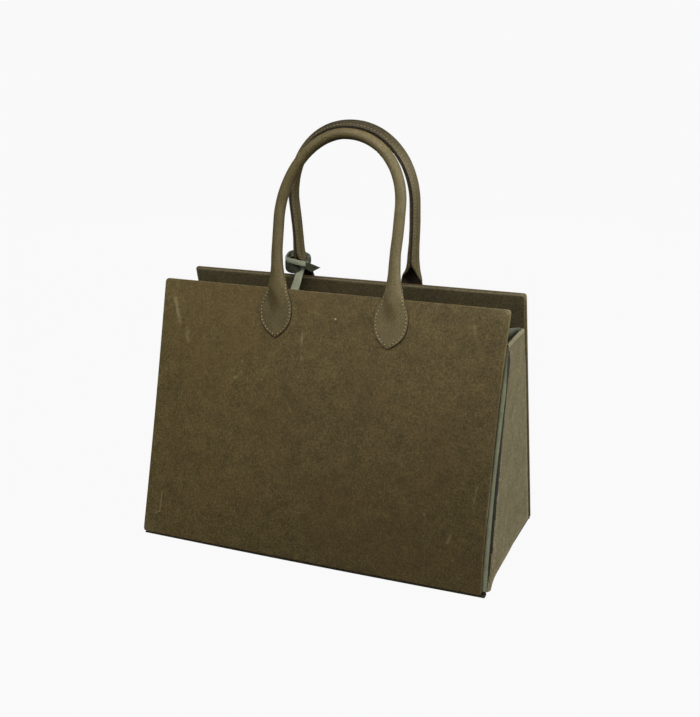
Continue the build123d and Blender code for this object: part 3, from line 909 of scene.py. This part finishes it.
def make_side_cloth(gusset):
    """Side lining, sewn along its edges and slack at the mouth."""
    t, u = np.meshgrid(np.linspace(0, 1, 60), np.linspace(0, 1, 50), indexing="ij")
    z = SIDE_CLOTH_FOOT + t * (GUSSET_TOP_BACK + 1.0 * MM - SIDE_CLOTH_FOOT)
    y_front, y_back = gusset.span(z, WRAP + FACING + 0.3 * MM)
    y = y_front + (y_back - y_front) * u
    slack = np.sin(np.pi * u) ** 0.8
    sag = (0.6 + 9.5 * smooth((t - 0.35) / 0.65) ** 1.3) * MM * slack
    folds = 0.9 * MM * waves(51, 8, 26 * MM)(y * 1.6, z * 0.5) * slack * (0.3 + t)
    x = SIDE_CLOTH_FACE - sag - folds
    z = z + 2.5 * MM * smooth((t - 0.9) / 0.1) * np.sin(np.pi * u) * (0.4 + u)
    outer = gusset.at(x, y, z)
    inner = gusset.at(x - LINING, y, z)
    obj = shell(f"{gusset.name}_side_cloth", outer, inner, flip=gusset.hand < 0)
    settle(obj, side_cloth, replaces=[f"{gusset.name}_gusset_lining"])


# ---- Handles ----
# Half widths in mm: of a tab below the panel's edge (negative), and of a leg above it.
TAB_HALF_WIDTH = [(-60, 10.9), (0, 10.9), (1.5, 11.5), (6.5, 13.4), (11.5, 15.5), (16.5, 16.8),
                  (21.5, 17.2), (24, 17.0), (29, 16.3), (34.2, 14.5), (39.3, 10.9), (42.6, 7.3),
                  (45.3, 3.4), (47.1, 0.15)]
LEG_HALF_WIDTH = {"front": [(0, 10.9), (3.5, 9.7), (8.5, 8.3), (14.5, 7.2), (22.5, 6.1), (31.5, 5.6),
                            (43, 5.25), (400, 5.25)],
                  "back": [(0, 12.0), (6, 10.4), (14, 7.6), (22, 6.3), (30, 5.8), (45, 5.25), (400, 5.25)]}
# How far round the grip the leather reaches on either side, in degrees.
ROLL_ANGLE = [(-10, 88), (0, 95), (5, 113), (10, 133), (16, 156), (21, 177), (26, 180), (400, 180)]
# Sideways place of each leg at heights along it, all in mm.
LEGS = {"front": ([(-47.1, -50.7), (-20, -53.0), (0, -53.6), (20, -55.6), (40, -57.0), (70.5, -57.0)],
                  [(-47.1, 65.9), (-20, 67.4), (0, 67.3), (20, 66.4), (40, 65.9), (60, 66.9),
                   (83.5, 67.4)]),
        "back": ([(-47.1, -50.7), (-20, -53.0), (0, -53.6), (28, -56.7), (40, -56.5), (80, -58.05)],
                 [(-47.1, 62.5), (-20, 63.6), (0, 63.9), (14, 65.9), (30, 66.9), (46, 68.4), (62, 69.5),
                  (80, 70.1)])}
# The arch over the legs: for each side its start, fullness and half width; then its middle and how far
# the apex is shifted.
ARCH = {"front": ((70.5, 1.93, 61.8), (83.5, 2.06, 62.6), 4.8, 2.4),
        "back": ((80.0, 2.10, 63.85), (80.0, 2.06, 64.3), 5.8, 2.8)}
HANDLED = {"front": 0.34, "back": 0.0}      # how much more worn a handle's right half is
CROWN_PAINTED_SHADE = {"front": 0.0, "back": 0.95}   # and how much painted shade darkens its crown
PINCH_FROM = 0.78             # share of the half strip round the grip; the rest is pinched in the seam
PINCH_ANGLE = math.radians(135)
PINCH_HALF = 1.55 * MM        # half of the seam's thickness at its edge


def mm_curve(points, value):
    return curve_through(points, np.asarray(value) / MM) * MM


def handle_side(panel, side):
    """One leg and its half of the arch, from the tab's tip to the top."""
    left, right, centre, shift = ARCH[panel.name]
    start, fullness, half = right if side > 0 else left
    start = start * MM
    tip = np.array([0, 0.35, 0.9, 1.7, 2.8]) * MM - TAB_LENGTH
    leg = np.concatenate([tip, np.arange(tip[-1] + 1.3 * MM, start, 1.4 * MM)])
    angle = np.linspace(0, math.pi / 2, 400)[1:]
    x = (centre + shift * np.sin(angle) + side * half * np.cos(angle) ** (2 / fullness)) * MM
    s = start + (panel.apex - start) * np.sin(angle) ** (2 / fullness)
    arch = np.stack([x, s], axis=1)
    along = lengths_along(arch)
    arch_x, arch_s = points_at(np.linspace(0, along[-1], 75), along, arch).T
    leg_x = mm_curve(LEGS[panel.name][int(side > 0)], leg)
    return np.concatenate([leg_x, arch_x]), np.concatenate([leg, arch_s])


def handle_line(panel):
    """Along the strip: sideways place, distance from the fold line up the handle, and length."""
    left_x, left_s = handle_side(panel, -1)
    right_x, right_s = handle_side(panel, 1)
    x = np.concatenate([left_x[:-1], right_x[::-1]])
    s = np.concatenate([left_s[:-1], right_s[::-1]])
    return x, s, lengths_along(np.stack([x, s], axis=1))


def handle_frame(panel, x, s):
    """Points of the centreline with the directions across the strip and outwards."""
    above = panel.fold * np.array([0, 1, 1]) + x[:, None] * ACROSS + s[:, None] * panel.handle_up
    below = panel.at(x, panel.slope + s)
    share = ramp(s, -6 * MM, 6 * MM)[:, None]
    points = np.where(s[:, None] < 0, below, above)
    outward = unit(panel.out + (panel.handle_out - panel.out) * share)
    across = unit(np.cross(np.gradient(points, axis=0), outward) * -panel.side)
    return points, across, outward


def teardrop(radius, q):
    """Section of the grip: round outside, its two edges pinched face to face on the inner side."""
    share = np.abs(q)
    angle = np.minimum(share / PINCH_FROM, 1) * PINCH_ANGLE
    across = radius * np.sin(angle)
    out = GRIP_HALF_DEPTH * np.cos(angle)
    t = np.clip((share - PINCH_FROM) / (1 - PINCH_FROM), 0, 1)
    sine, cosine = math.sin(PINCH_ANGLE), math.cos(PINCH_ANGLE)
    keel_across = hermite(t, radius * sine, radius * cosine * 0.75, PINCH_HALF, -0.45 * MM)
    keel_out = hermite(t, GRIP_HALF_DEPTH * cosine, -GRIP_HALF_DEPTH * sine * 0.75, -KEEL_DEPTH, -4.4 * MM)
    pinched = share > PINCH_FROM
    return np.sign(q) * np.where(pinched, keel_across, across), np.where(pinched, keel_out, out)


def strip_section(panel, s, q):
    """The strip's outer face across and outwards, for q from -1 to 1, with its normals."""
    drop = np.maximum(0, -s)
    flat_across = mm_curve(TAB_HALF_WIDTH, -s) * q
    ridge = 5.0 * MM * ramp(drop, 24 * MM, 0) * np.clip(1 - (flat_across / (9 * MM)) ** 2, 0, 1) ** 1.5
    flat_out = TAB + 0.1 * MM + ridge
    radius = mm_curve(LEG_HALF_WIDTH[panel.name], np.maximum(s, 0))
    angle = q * np.radians(curve_through(ROLL_ANGLE, s / MM))
    open_out = GRIP_HALF_DEPTH * np.cos(angle) + 0.8 * MM * ramp(s, 16 * MM, 0)
    drop_across, drop_out = teardrop(radius, q)
    closed = ramp(s, 14 * MM, 26 * MM)
    round_across = radius * np.sin(angle) * (1 - closed) + drop_across * closed
    round_out = open_out * (1 - closed) + drop_out * closed
    rolled = ramp(s, -8 * MM, 8 * MM)
    across = flat_across + (round_across - flat_across) * rolled
    out = flat_out + (round_out - flat_out) * rolled
    d_across = np.gradient(across, axis=1)
    d_out = np.gradient(out, axis=1)
    size = np.hypot(d_across, d_out) + 1e-12
    return across, out, -d_out / size, d_across / size


def row_lines(outer, inset):
    """Lines that run a given distance in from the first and the last column."""
    steps = np.linalg.norm(np.diff(outer, axis=1), axis=2)
    along = np.concatenate([np.zeros((len(outer), 1)), np.cumsum(steps, axis=1)], axis=1)
    both = np.concatenate([outer, surface_normals(outer)], axis=2)
    taper = np.abs(np.gradient(along[:, -1] / 2, lengths_along(outer.mean(axis=1))))
    lateral = inset * np.sqrt(1 + np.minimum(taper, 2.0) ** 2)
    lines = []
    for place in (lateral, along[:, -1] - lateral):
        rows = np.concatenate([points_at(place[i:i + 1], along[i], both[i]) for i in range(len(outer))])
        lines.append((rows[:, :3], rows[:, 3:]))
    return lines, along[:, -1] > 2.6 * lateral


def handle_relief(edge, along, q, slant, seed):
    """How far the handle's leather stands off its even surface: lumps, rounded edges, seam and creases."""
    lumps = 0.12 * MM * waves(seed, 10, 9 * MM)(q * STRIP_HALF * 3, along)
    seam = np.abs(edge - STITCH_INSET * slant)
    groove = 0.28 * MM * np.exp(-(seam / (0.6 * MM)) ** 2)
    return lumps - 0.8 * rounded(edge, 0.8 * MM) - groove - crease_depth(along, q, seed)


def handle_wear(panel, edge, along, q, seed):
    """Where a handle is paler: at its edges, in patches, and on the half that is handled more."""
    total = along.max()
    rub = 0.22 * np.clip(waves(seed, 8, 12 * MM)(along, q * STRIP_HALF) + 0.1, 0, 1)
    handled = HANDLED[panel.name] * ramp(along, 0.45 * total, 0.62 * total)
    return np.clip(0.30 * (1 - ramp(edge, 0.8 * MM, 2.4 * MM)) + rub + handled, 0, 1)


def handle_soil(panel, edge, along, s):
    """Where a handle is darker: painted shade on its crown; at the edges of its tabs, painted shadow over a
    dark burnished edge.
    """
    total = along.max()
    crown = CROWN_PAINTED_SHADE[panel.name] * ramp(np.abs(along - 0.5 * total), 0.17 * total, 0.05 * total)
    # Along the tabs' edges: painted shadow on top of the edges' own burnished dark.
    return np.maximum(crown, 0.9 * ramp(edge, 0.9 * MM, 0.1 * MM) * ramp(s, 14 * MM, 4 * MM))


def make_handle(panel, seed):
    name = panel.name
    x, s, length = handle_line(panel)
    points, across, outward = handle_frame(panel, x, s)
    rim = np.array([0, 0.004, 0.012, 0.025])
    q, s_grid = np.meshgrid(np.concatenate([rim - 1, np.linspace(-0.96, 0.96, 57), 1 - rim[::-1]]), s)
    sideways, out, turn_sideways, turn_out = strip_section(panel, s_grid, q)
    widths = np.abs(mm_curve(TAB_HALF_WIDTH, -s))
    slant = np.sqrt(1 + np.minimum(np.abs(np.gradient(widths, length)), 2.0) ** 2)[:, None]
    edge = (1 - np.abs(q)) * np.maximum(widths, 11 * MM)[:, None]
    along = length[:, None] + 0 * edge
    shift = handle_relief(edge, along, q, slant, seed)
    thick = STRAP + (TAB - STRAP) * ramp(s_grid, 8 * MM, -8 * MM)
    outer, inner = (off_line(points, across, outward, sideways + turn_sideways * off, out + turn_out * off)
                    for off in (shift, -thick))
    obj = shell(f"{name}_handle_leather", outer, inner, flip=panel.side > 0,
                strip=np.stack([q * STRIP_HALF + 0.3 * seed, 0 * along, along], axis=-1),
                wear=handle_wear(panel, edge, along, q, seed + 3),
                soil=handle_soil(panel, edge, along, s_grid))
    settle(obj, handle_leather, body=None, inside=handle_inside, rim=handle_inside,
           replaces=[f"{name}_left_tab", f"{name}_right_tab", f"{name}_handle_grip"])
    fold_with_handle(obj)
    make_handle_stitches(panel, outer)
    closed = s > CORE_START
    make_core(panel, points[closed], across[closed], outward[closed])


def make_core(panel, points, across, outward):
    """The cord that the leather is rolled round, along the same line."""
    angle = np.linspace(0, 2 * np.pi, 16, endpoint=False)[:, None, None]
    rings = points + CORE_RADIUS * (np.cos(angle) * across + np.sin(angle) * outward)
    index = np.arange(16 * len(points)).reshape(16, -1)
    faces = quads(np.concatenate([index, index[:1]]))
    faces += [tuple(int(i) for i in index[:, 0]), tuple(int(i) for i in index[::-1, -1])]
    if panel.side > 0:
        faces = [tuple(reversed(face)) for face in faces]
    obj = new_object(f"{panel.name}_handle_cord", rings.reshape(-1, 3), faces)
    settle(obj, core_material, body=None, replaces=[f"{panel.name}_handle_core"])
    fold_with_handle(obj)


def crease_depth(length, q, seed):
    """A few shallow creases across the bends of the grip."""
    dice = random.Random(seed + 9)
    total = float(length.max())
    depth = 0 * length * q
    for _ in range(9):
        place = total * dice.choice([dice.uniform(0.33, 0.42), dice.uniform(0.58, 0.67)])
        slant = dice.uniform(-4, 4) * MM
        width = dice.uniform(0.5, 0.9) * MM
        away = (length - place - slant * q) / width
        on_one_side = np.exp(-((q - 0.5) / 0.5) ** 2)
        depth = depth + dice.uniform(0.1, 0.25) * MM * np.exp(-away * away) * on_one_side
    return depth


def make_handle_stitches(panel, outer):
    lines, wide = row_lines(outer, STITCH_INSET)
    sign = 1 if panel.side < 0 else -1
    runs = [(points[wide], normals[wide] * sign) for points, normals in lines]
    thread = dark_thread if panel.side > 0 else thread_material
    fold_with_handle(stitches(f"{panel.name}_handle_stitches", runs, thread))


# ---- Lace ----
KNOT_CENTRE = (-56.6, 28.4, 271.0)          # middle of the knot, on the back handle's left leg, in mm
LACE_ROUTE = [(-52.6, 20.2, 264.0), (-54.6, 16.6, 253.0), (-57.6, 12.4, 240.0), (-60.2, 9.8, 225.0),
              (-61.6, 9.6, 208.0), (-62.0, 11.0, 191.0), (-61.6, 12.4, 176.0)]
LACE_FACING = np.array([0.15, -1.0, 0.1])
# The knot's turns round the leg, its rise out of the bag and the edges of its cut end: points in mm.
UPPER_TURN = [(-69.2, 22.0, 275.0), (-68.4, 24.5, 277.6), (-65.2, 29.0, 279.2), (-59.5, 36.0, 278.2),
              (-52.0, 36.5, 275.8), (-47.0, 31.5, 274.4), (-45.2, 26.0, 273.4), (-45.6, 20.5, 272.0),
              (-47.4, 18.2, 270.6)]
LOWER_TURN = [(-58.0, 37.0, 272.4), (-65.5, 34.0, 272.2), (-69.8, 27.6, 271.4), (-69.4, 21.8, 269.4),
              (-65.6, 18.6, 267.0), (-60.6, 18.2, 266.0), (-55.4, 19.0, 266.6), (-51.0, 20.4, 268.4)]
BAND = [(-64.0, 34.0, 276.4), (-68.8, 28.0, 276.0), (-69.4, 22.4, 275.4), (-66.6, 18.4, 274.6),
        (-61.0, 16.6, 273.8), (-55.3, 16.0, 272.9), (-50.0, 16.2, 272.1), (-45.8, 17.0, 271.4),
        (-43.8, 19.0, 270.8)]
RISE = [(-53.4, 20.3, 262.6), (-52.0, 20.1, 266.6), (-50.8, 19.4, 270.4), (-49.8, 18.9, 273.4)]
TAIL_TOP = [(-47.4, 274.0), (-40.2, 272.6), (-28.8, 269.0)]
TAIL_BOTTOM = [(-47.4, 267.4), (-43.0, 266.4), (-38.4, 263.8)]
TAIL_DEPTH = 17.4


def nurbs_line(name, controls):
    """Points along a NURBS curve with these control points."""
    curve = bpy.data.curves.new(name, "CURVE")
    curve.dimensions = "3D"
    curve.resolution_u = 16
    spline = curve.splines.new("NURBS")
    spline.points.add(len(controls) - 1)
    for point, control in zip(spline.points, controls):
        point.co = (*(c * MM for c in control), 1.0)
    spline.order_u = 3
    spline.use_endpoint_u = True
    holder = put(name, curve)
    mesh = bpy.data.meshes.new_from_object(holder)
    line = np.array([v.co[:] for v in mesh.vertices])
    bpy.data.objects.remove(holder)
    bpy.data.meshes.remove(mesh)
    return line


def smooth_line(controls, steps=10):
    """A smooth line through every control point."""
    points = np.array(controls, float)
    padded = np.concatenate([2 * points[:1] - points[1:2], points, 2 * points[-1:] - points[-2:-1]])
    line = []
    for a, b, c, d in zip(padded, padded[1:], padded[2:], padded[3:]):
        for t in np.arange(steps) / steps:
            line.append(0.5 * (2 * b + (c - a) * t + (2 * a - 5 * b + 4 * c - d) * t * t
                               + (3 * b - a - 3 * c + d) * t ** 3))
    line.append(padded[-2])
    return np.array(line)


def ribbon(name, line, facing, widths):
    """A flat strip along a line; facing is the way its face looks at each point."""
    along = unit(np.gradient(line, axis=0))
    normal = square_to(facing, along)
    across = np.cross(along, normal)
    q = np.array([-1, -0.96, -0.8, -0.4, 0, 0.4, 0.8, 0.96, 1])
    half = np.broadcast_to(np.asarray(widths, float) / 2, len(line))[:, None]
    drop = rounded(half * (1 - np.abs(q)), 0.4 * MM)
    arc = LACE_BOW * (1 - q * q)
    outer = off_line(line, across, normal, half * q, arc + LACE_THICKNESS / 2 - drop)
    inner = off_line(line, across, normal, half * q, arc - LACE_THICKNESS / 2 + drop)
    return shell(name, outer, inner, flip=True)


def join(name, pieces):
    """Merge strips into one mesh; each comes with True if its flesh side, material 0, faces outwards."""
    vertices, faces, sides = [], [], []
    for obj, flesh_out in pieces:
        base = len(vertices)
        kinds = (0, 1, 1) if flesh_out else (1, 0, 1)
        vertices.extend(tuple(v.co) for v in obj.data.vertices)
        faces.extend(tuple(base + i for i in p.vertices) for p in obj.data.polygons)
        sides.extend(kinds[p.material_index] for p in obj.data.polygons)
        bpy.data.objects.remove(obj)
    return new_object(name, vertices, faces, sides)


def strip_round_leg(name, controls, width):
    """A strip along a smooth line through points in mm, facing away from the leg it goes round."""
    line = smooth_line(controls) * MM
    away = line - np.array(KNOT_CENTRE) * MM
    away[:, 2] = 0
    return ribbon(name, line, away, width)


def cut_end(top, bottom, depth):
    """The free end of the lace, between its top and bottom edges, in mm, cut off slanting."""
    share = np.linspace(0, 1, 14)
    top, bottom = (points_at(share, np.linspace(0, 1, len(side)), np.array(side)) for side in (top, bottom))
    grid = top[:, None] + (bottom - top)[:, None] * np.array([0, 0.06, 0.3, 0.7, 0.94, 1])[:, None]
    bow = np.sin(share * 2.2)[:, None] * 0.8 - depth
    outer, inner = (at_height(grid[..., 0], -(bow + half), grid[..., 1]) * MM
                    for half in (LACE_THICKNESS / MM / 2, -LACE_THICKNESS / MM / 2))
    return shell("tail", outer, inner)


def make_lace():
    line = nurbs_line("lace_line", LACE_ROUTE)
    widths = LACE_WIDTH * (1 - 0.12 * np.linspace(1, 0, len(line)) ** 6)
    lace = ribbon("hanging_lace", line, np.broadcast_to(LACE_FACING, line.shape), widths)
    settle(lace, lace_suede, body=None, inside=lace_grain, rim=lace_grain,
           replaces=["lace"])
    fold_with_handle(lace)


def make_knot():
    """The lace goes twice round the leg and is tucked through itself, with its cut end sticking out."""
    upper = strip_round_leg("upper", UPPER_TURN, 6.4 * MM)
    lower = strip_round_leg("lower", LOWER_TURN, 10.8 * MM)
    band = strip_round_leg("band", BAND, 5.2 * MM)
    rise = smooth_line(RISE) * MM
    root = ribbon("root", rise, np.broadcast_to(LACE_FACING, rise.shape), LACE_WIDTH * 0.97)
    tail = cut_end(TAIL_TOP, TAIL_BOTTOM, TAIL_DEPTH)
    knot = join("lace_knot_turns",
                [(upper, False), (lower, False), (band, True), (root, True), (tail, False)])
    knot.data.materials.append(lace_suede)
    knot.data.materials.append(lace_grain)
    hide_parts("lace_knot")
    fold_with_handle(knot)


# ---- Finishes of the pieces taken over from the frame ----
def finish_nodes(material, *names):
    for name in names:
        for slot in frame["nodes"][name].material_slots:
            slot.material = material


# ---- Studio ----
FLOOR_GLOW = 0.945
WORLD_LOW = 0.06
WORLD_HIGH = 0.28
# Area lights: place, size and power.
LIGHTS = {"key": ((1.9, -0.1, 0.9), 1.2, 47), "top": ((-0.02, -0.36, 0.78), 0.5, 5.2),
          "fill": ((-0.6, -2.2, 1.2), 1.8, 2.2), "back": ((-0.8, 2.0, 0.45), 1.2, 16)}
LIT_POINT = (0, 0, 0.15)
LENS = 53.19
SENSOR = 36.0
CAMERA_PLACE = (0.40523, -0.94065, 0.47169)
CAMERA_TARGET = (0.0106, 0, 0.1827)
# The floor paper, in metres: front edge, where it begins to turn up, radius of the turn, top, half width.
FLOOR_FRONT = -4
FLOOR_TURN = 2.2
FLOOR_RADIUS = 2.0
FLOOR_TOP = 6.0
FLOOR_HALF = 6
FLOOR_BELOW = 0.0002


def make_floor():
    """Paper that lies under the bag and turns up behind it."""
    points = [(y, 0.0) for y in np.linspace(FLOOR_FRONT, FLOOR_TURN, 20)]
    for angle in np.linspace(0, math.pi / 2, 24)[1:]:
        points.append((FLOOR_TURN + FLOOR_RADIUS * math.sin(angle), FLOOR_RADIUS * (1 - math.cos(angle))))
    points.append((FLOOR_TURN + FLOOR_RADIUS, FLOOR_TOP))
    index = np.arange(len(points) * 2).reshape(len(points), 2)
    vertices = [(x, y, z - FLOOR_BELOW) for y, z in points for x in (-FLOOR_HALF, FLOOR_HALF)]
    floor = new_object("floor", vertices, quads(index))
    floor.visible_diffuse = False
    floor.visible_glossy = False
    n = Nodes("floor_paper")
    n.shade({"Base Color": (0.004, 0.004, 0.004), "Roughness": 0.95, "Specular IOR Level": 0.0,
             "Emission Color": (1.0, 1.0, 1.0), "Emission Strength": FLOOR_GLOW})
    floor.data.materials.append(n.material)


def make_studio():
    make_floor()
    make_world()
    for name, (place, size, power) in LIGHTS.items():
        add_light(name, place, size, power)
    bpy.context.scene.view_settings.view_transform = "Standard"


def make_world():
    """Even light from all round, a little stronger from above."""
    world = bpy.data.worlds.new("studio")
    world.use_nodes = True
    tree = world.node_tree
    place = tree.nodes.new("ShaderNodeTexCoord")
    split = tree.nodes.new("ShaderNodeSeparateXYZ")
    height = tree.nodes.new("ShaderNodeMapRange")
    limits = {"From Min": -0.6, "From Max": 0.9, "To Min": WORLD_LOW, "To Max": WORLD_HIGH}
    for key, number in limits.items():
        height.inputs[key].default_value = number
    tree.links.new(place.outputs["Generated"], split.inputs["Vector"])
    tree.links.new(split.outputs["Z"], height.inputs["Value"])
    tree.links.new(height.outputs["Result"], tree.nodes["Background"].inputs["Strength"])
    tree.nodes["Background"].inputs["Color"].default_value = (1, 1, 1, 1)
    bpy.context.scene.world = world


def add_light(name, place, size, power):
    light = bpy.data.lights.new(name, "AREA")
    light.shape = "SQUARE"
    light.size = size
    light.energy = power
    holder = put(name, light)
    holder.visible_camera = False
    aim(holder, place, LIT_POINT)


def aim(obj, place, target):
    obj.location = place
    direction = Vector(target) - Vector(place)
    obj.rotation_euler = direction.to_track_quat("-Z", "Y").to_euler()


def make_camera():
    camera = bpy.data.cameras.new("camera")
    camera.lens = LENS
    camera.sensor_width = SENSOR
    holder = put("camera", camera)
    aim(holder, CAMERA_PLACE, CAMERA_TARGET)
    bpy.context.scene.camera = holder


make_panel(front, 11)
make_panel(back, 17)
for panel, seed in ((front, 23), (back, 29)):
    make_facing(panel, seed)
    make_panel_lining(panel, seed + 1)
make_base()
for gusset in (Gusset("right", 1, RIGHT_FOOT_LINE, RIGHT_FLANGE),
               Gusset("left", -1, LEFT_FOOT_LINE, LEFT_FLANGE)):
    make_gusset(gusset)
    make_binding(gusset)
    make_side_cloth(gusset)
make_handle(front, 61)
make_handle(back, 67)
make_lace()
make_knot()
finish_nodes(board_material, "front_board", "back_board", "base_board")
finish_nodes(backing_material, "front_left_backing", "front_right_backing", "back_left_backing",
             "back_right_backing")
finish_nodes(tack_material, "centre_tack")
make_studio()
make_camera()
